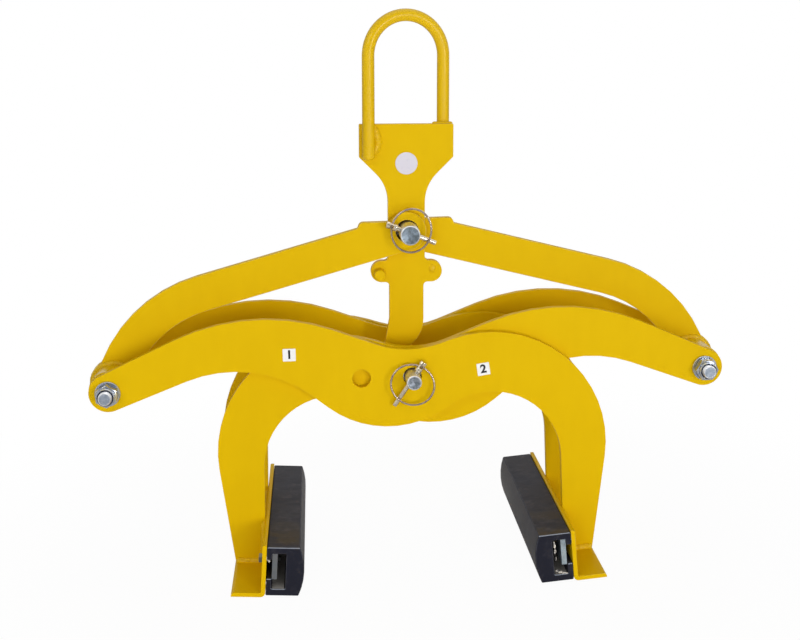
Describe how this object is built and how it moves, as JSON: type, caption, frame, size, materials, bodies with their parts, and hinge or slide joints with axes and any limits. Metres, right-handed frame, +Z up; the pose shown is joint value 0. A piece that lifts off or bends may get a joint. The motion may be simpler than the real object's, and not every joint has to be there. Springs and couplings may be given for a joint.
{
  "type": "stone lifting tongs",
  "caption": "Scissor lifting tongs: a bail and hanger plate pull two links that close two crossed double-plate arms with rubber-padded jaws on a stone or kerb.",
  "frame": {"origin": "on the ground under the middle of the tongs: middle of the bottom of the bounding box", "axes": "+X to the right along the line of the outer bolts, +Y to the rear along the pins, +Z up"},
  "size_m": [0.778, 0.259, 0.6719],
  "materials": {
    "yellow_paint": "satin powder coat",
    "pad_rubber": "matt moulded rubber",
    "zinc": "zinc plated",
    "clip_steel": "bright plated wire",
    "nylon": "dark blue nylon",
    "bar_steel": "zinc plated flat bar",
    "sticker": "plain pale film",
    "label": "white film"
  },
  "bodies": {
    "centre": {"centre_pivot_pin": "zinc", "centre_clip_pin": "clip_steel", "centre_spacer": "yellow_paint", "centre_washer_front": "zinc", "centre_washer_rear": "zinc"},
    "arm_a": {"arm_a_front": "yellow_paint", "arm_a_rear": "yellow_paint", "foot_right": "yellow_paint", "rubber_pad_right": "pad_rubber", "clamp_bar_right": "bar_steel", "pad_bolt_right_front": "zinc", "pad_bolt_right_rear": "zinc", "bush_left": "zinc", "outer_bolt_left": "zinc", "outer_nut_left": "zinc", "nut_insert_left": "nylon", "bolt_washer_left_front": "zinc", "bolt_washer_left_rear": "zinc", "label_1": "label", "label_2": "label"},
    "arm_b": {"arm_b_front": "yellow_paint", "arm_b_rear": "yellow_paint", "foot_left": "yellow_paint", "rubber_pad_left": "pad_rubber", "clamp_bar_left": "bar_steel", "pad_bolt_left_front": "zinc", "pad_bolt_left_rear": "zinc", "bush_right": "zinc", "outer_bolt_right": "zinc", "outer_nut_right": "zinc", "nut_insert_right": "nylon", "bolt_washer_right_front": "zinc", "bolt_washer_right_rear": "zinc"},
    "hanger": {"suspension_plate": "yellow_paint", "lifting_bail": "yellow_paint", "stop_pin_front": "yellow_paint", "stop_pin_rear": "yellow_paint", "round_sticker": "sticker", "top_pivot_pin": "zinc", "top_clip_pin": "clip_steel"},
    "link_left": {"link_left": "yellow_paint", "sleeve_left": "yellow_paint"},
    "link_right": {"link_right": "yellow_paint", "sleeve_right": "yellow_paint"},
    "top_ring": {"top_clip_ring": "clip_steel"},
    "centre_ring": {"centre_clip_ring": "clip_steel"}
  },
  "joints": [
    {"name": "arm_a_turn", "type": "hinge", "parent": "centre", "child": "arm_a", "pos_m": [0, 0, 0.2371], "axis": [0, 1, 0], "range_deg": [0, 26]},
    {"name": "arm_b_turn", "type": "hinge", "parent": "centre", "child": "arm_b", "pos_m": [0, 0, 0.2371], "axis": [0, 1, 0], "range_deg": [-26, 0]},
    {"name": "hanger_lift", "type": "slide", "parent": "centre", "child": "hanger", "axis": [0, 0, 1], "range_m": [0, 0.2155]},
    {"name": "link_left_turn", "type": "hinge", "parent": "hanger", "child": "link_left", "pos_m": [0, 0, 0.4063], "axis": [0, 1, 0], "range_deg": [-9.5, 0]},
    {"name": "link_right_turn", "type": "hinge", "parent": "hanger", "child": "link_right", "pos_m": [0, 0, 0.4063], "axis": [0, 1, 0], "range_deg": [0, 9.5]},
    {"name": "top_ring_swing", "type": "hinge", "parent": "hanger", "child": "top_ring", "pos_m": [-0.01906, -0.0273, 0.41494], "axis": [-0.2385, 0, -0.9711], "range_deg": [0, 110]},
    {"name": "centre_ring_swing", "type": "hinge", "parent": "centre", "child": "centre_ring", "pos_m": [0.00978, -0.0653, 0.25101], "axis": [-0.898, 0, 0.4399], "range_deg": [0, 110]}
  ],
  "couplings": [
    {"joint": "arm_b_turn", "follows": "arm_a_turn", "ratio": -1},
    {"joint": "hanger_lift", "follows": "arm_a_turn", "m_per_rad": 0.4746},
    {"joint": "link_left_turn", "follows": "arm_a_turn", "ratio": -0.3649},
    {"joint": "link_right_turn", "follows": "arm_a_turn", "ratio": 0.3649}
  ]
}
